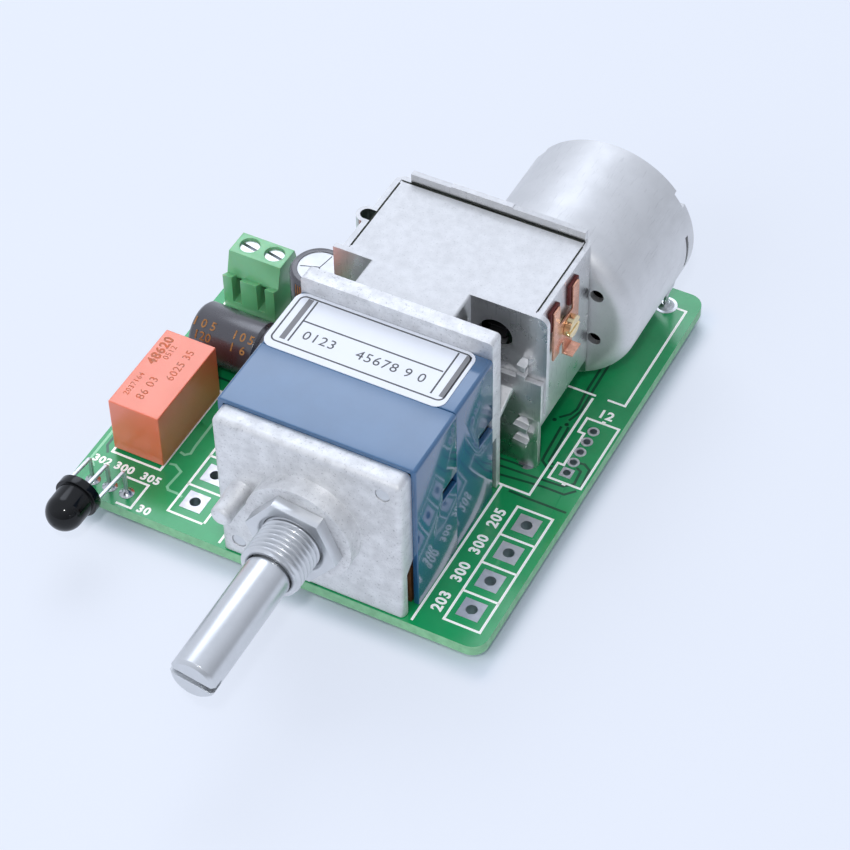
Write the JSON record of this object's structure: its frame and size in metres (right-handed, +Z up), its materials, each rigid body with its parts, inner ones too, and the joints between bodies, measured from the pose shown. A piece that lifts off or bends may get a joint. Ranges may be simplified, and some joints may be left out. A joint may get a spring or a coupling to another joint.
{
  "type": "motorised volume control board",
  "caption": "Green circuit board that carries a motor-driven rotary control with a slotted shaft, a relay, a screw terminal, capacitors, an infrared sensor and solder pads.",
  "frame": {"origin": "bottom centre of the bounding box, level with the tips of the pins under the board", "axes": "+Z up from the board, -Y along the control shaft out of its free end, +X to the right seen from the shaft end"},
  "size_m": [0.0598, 0.0952, 0.032],
  "materials": {
    "board_laminate": "green solder mask over glass-fibre laminate",
    "tinned_copper": "tinned",
    "solder": "bright solder",
    "black_epoxy": "moulded epoxy",
    "die_cast_zinc": "die cast, satin plated",
    "nickel_plate": "bright nickel plate over turned metal",
    "blue_resin": "glossy moulded resin",
    "label_film": "pale printed film",
    "brown_laminate": "paper laminate",
    "black_nylon": "moulded nylon",
    "copper_strip": "rolled copper alloy strip",
    "plated_sheet": "plated steel sheet",
    "brass": "turned brass",
    "red_fibre": "vulcanised fibre",
    "ferrite": "sintered",
    "orange_plastic": "moulded plastic",
    "green_plastic": "moulded polyamide",
    "bare_aluminium": "drawn aluminium",
    "dark_sleeve": "shrunk plastic sleeve",
    "black_rubber": "moulded rubber"
  },
  "bodies": {
    "base": {"circuit_board": "board_laminate", "input_pads": "tinned_copper", "output_pads": "tinned_copper", "connector_pads": "tinned_copper", "motor_pads": "tinned_copper", "solder_joints": "solder", "control_chip": "black_epoxy", "front_plate": "die_cast_zinc", "bushing": "nickel_plate", "panel_nut": "nickel_plate", "front_case": "blue_resin", "rear_case": "blue_resin", "label": "label_film", "front_wafer": "brown_laminate", "rear_wafer": "brown_laminate", "pot_terminals": "tinned_copper", "rear_plate": "die_cast_zinc", "tie_rivets": "nickel_plate", "gearbox_cover": "plated_sheet", "gearbox_frame": "plated_sheet", "leg_bracket": "plated_sheet", "inner_bracket": "plated_sheet", "leaf_springs": "copper_strip", "fibre_pads": "red_fibre", "adjusting_screw": "brass", "motor_can": "plated_sheet", "motor_end_cap": "black_nylon", "motor_magnets": "ferrite", "motor_screws": "nickel_plate", "motor_leads": "tinned_copper", "relay_case": "orange_plastic", "relay_base": "black_nylon", "relay_pins": "tinned_copper", "relay_coil": "copper_strip", "terminal_housing": "green_plastic", "terminal_pins": "tinned_copper", "capacitor_cans": "bare_aluminium", "capacitor_sleeves": "dark_sleeve", "capacitor_bungs": "black_rubber", "capacitor_leads": "tinned_copper", "ir_receiver": "black_epoxy", "ir_leads": "tinned_copper"},
    "control": {"pot_shaft": "nickel_plate", "front_rotor": "black_nylon", "rear_rotor": "black_nylon", "wiper_springs": "copper_strip", "clutch_hub": "nickel_plate", "clutch_spring": "nickel_plate"},
    "worm_wheel": {"output_wheel": "black_nylon"},
    "cross": {"cross_shaft": "nickel_plate", "cross_wheel": "black_nylon"},
    "armature": {"rotor_core": "ferrite", "motor_shaft": "nickel_plate", "motor_worm": "brass"},
    "screw_left": {"terminal_screw_left": "nickel_plate"},
    "screw_right": {"terminal_screw_right": "nickel_plate"},
    "cage_left": {"terminal_cage_left": "nickel_plate"},
    "cage_right": {"terminal_cage_right": "nickel_plate"}
  },
  "joints": [
    {"name": "control_turn", "type": "hinge", "parent": "base", "child": "control", "pos_m": [0.00655, 0, 0.0156], "axis": [0, 1, 0], "range_deg": [-150, 150]},
    {"name": "motor_turn", "type": "hinge", "parent": "base", "child": "armature", "pos_m": [0.01625, 0, 0.0161], "axis": [0, 1, 0], "continuous": true},
    {"name": "cross_turn", "type": "hinge", "parent": "base", "child": "cross", "pos_m": [0.00655, 0.01645, 0.0236], "axis": [1, 0, 0], "continuous": true},
    {"name": "worm_wheel_turn", "type": "hinge", "parent": "base", "child": "worm_wheel", "pos_m": [0.00655, 0.01645, 0.0156], "axis": [0, 1, 0], "continuous": true},
    {"name": "screw_left_turn", "type": "hinge", "parent": "base", "child": "screw_left", "pos_m": [-0.02584, 0.02125, 0.0112], "axis": [0, 0, -1], "range_deg": [0, 1000]},
    {"name": "cage_left_lift", "type": "slide", "parent": "base", "child": "cage_left", "axis": [0, 0, 1], "range_m": [0, 0.00138]},
    {"name": "screw_right_turn", "type": "hinge", "parent": "base", "child": "screw_right", "pos_m": [-0.02203, 0.02125, 0.0112], "axis": [0, 0, -1], "range_deg": [0, 1000]},
    {"name": "cage_right_lift", "type": "slide", "parent": "base", "child": "cage_right", "axis": [0, 0, 1], "range_m": [0, 0.00138]}
  ],
  "couplings": [
    {"joint": "cross_turn", "follows": "motor_turn", "ratio": 0.038462},
    {"joint": "worm_wheel_turn", "follows": "motor_turn", "ratio": 0.0012407},
    {"joint": "screw_left_turn", "follows": "cage_left_lift", "rad_per_m": 12566},
    {"joint": "screw_right_turn", "follows": "cage_right_lift", "rad_per_m": 12566}
  ]
}
